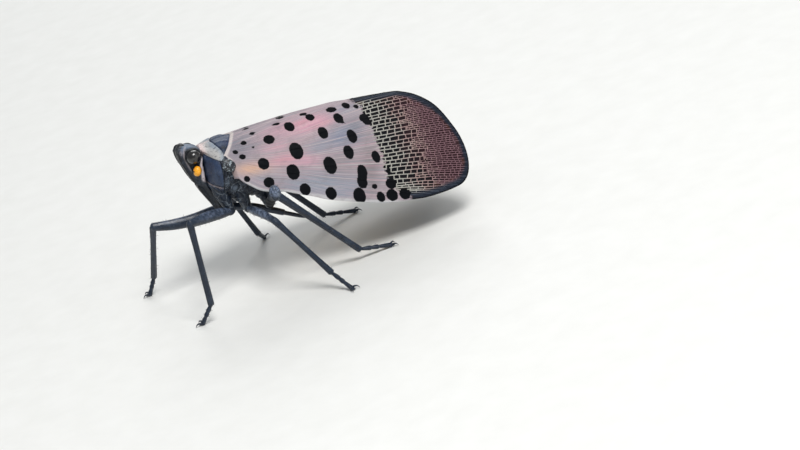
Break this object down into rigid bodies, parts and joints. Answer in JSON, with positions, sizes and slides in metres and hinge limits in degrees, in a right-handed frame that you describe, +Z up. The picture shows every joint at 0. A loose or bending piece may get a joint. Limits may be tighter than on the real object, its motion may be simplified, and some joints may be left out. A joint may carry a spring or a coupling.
{
  "type": "spotted lanternfly",
  "caption": "Life-size still model of an adult spotted lanternfly, standing nose-up with spotted forewings folded like a roof over its body.",
  "frame": {"origin": "on the floor, under the middle of the whole insect's box", "axes": "+X back along the insect (the head points to -X), +Y to the insect's right, +Z up"},
  "size_m": [0.028, 0.0186, 0.0137],
  "materials": {
    "cuticle": "satin blue-grey bloom over black",
    "dark_cuticle": "satin near-black",
    "leg": "satin blue-black",
    "eye": "glossy dark brown",
    "antenna": "satin orange",
    "pronotum": "matt pale grey bloom",
    "tegula": "matt grey bloom, lumpy",
    "forewing": "matt pinkish grey with black spots",
    "hindwing": "matt red",
    "abdomen": "satin yellow with black bands"
  },
  "bodies": {
    "root": {"head": "cuticle", "prothorax": "pronotum", "mesothorax": "cuticle", "metathorax": "dark_cuticle", "abdomen": "abdomen", "rostrum": "dark_cuticle", "eye_left": "eye", "antenna_left": "antenna", "tegula_left": "tegula", "forewing_left": "forewing", "hindwing_left": "hindwing", "fore_left_coxa": "leg", "fore_left_femur": "leg", "fore_left_tibia": "leg", "fore_left_tarsus": "leg", "mid_left_coxa": "leg", "mid_left_femur": "leg", "mid_left_tibia": "leg", "mid_left_tarsus": "leg", "hind_left_coxa": "leg", "hind_left_femur": "leg", "hind_left_tibia": "leg", "hind_left_tarsus": "leg", "eye_right": "eye", "antenna_right": "antenna", "tegula_right": "tegula", "forewing_right": "forewing", "hindwing_right": "hindwing", "fore_right_coxa": "leg", "fore_right_femur": "leg", "fore_right_tibia": "leg", "fore_right_tarsus": "leg", "mid_right_coxa": "leg", "mid_right_femur": "leg", "mid_right_tibia": "leg", "mid_right_tarsus": "leg", "hind_right_coxa": "leg", "hind_right_femur": "leg", "hind_right_tibia": "leg", "hind_right_tarsus": "leg"}
  },
  "joints": []
}
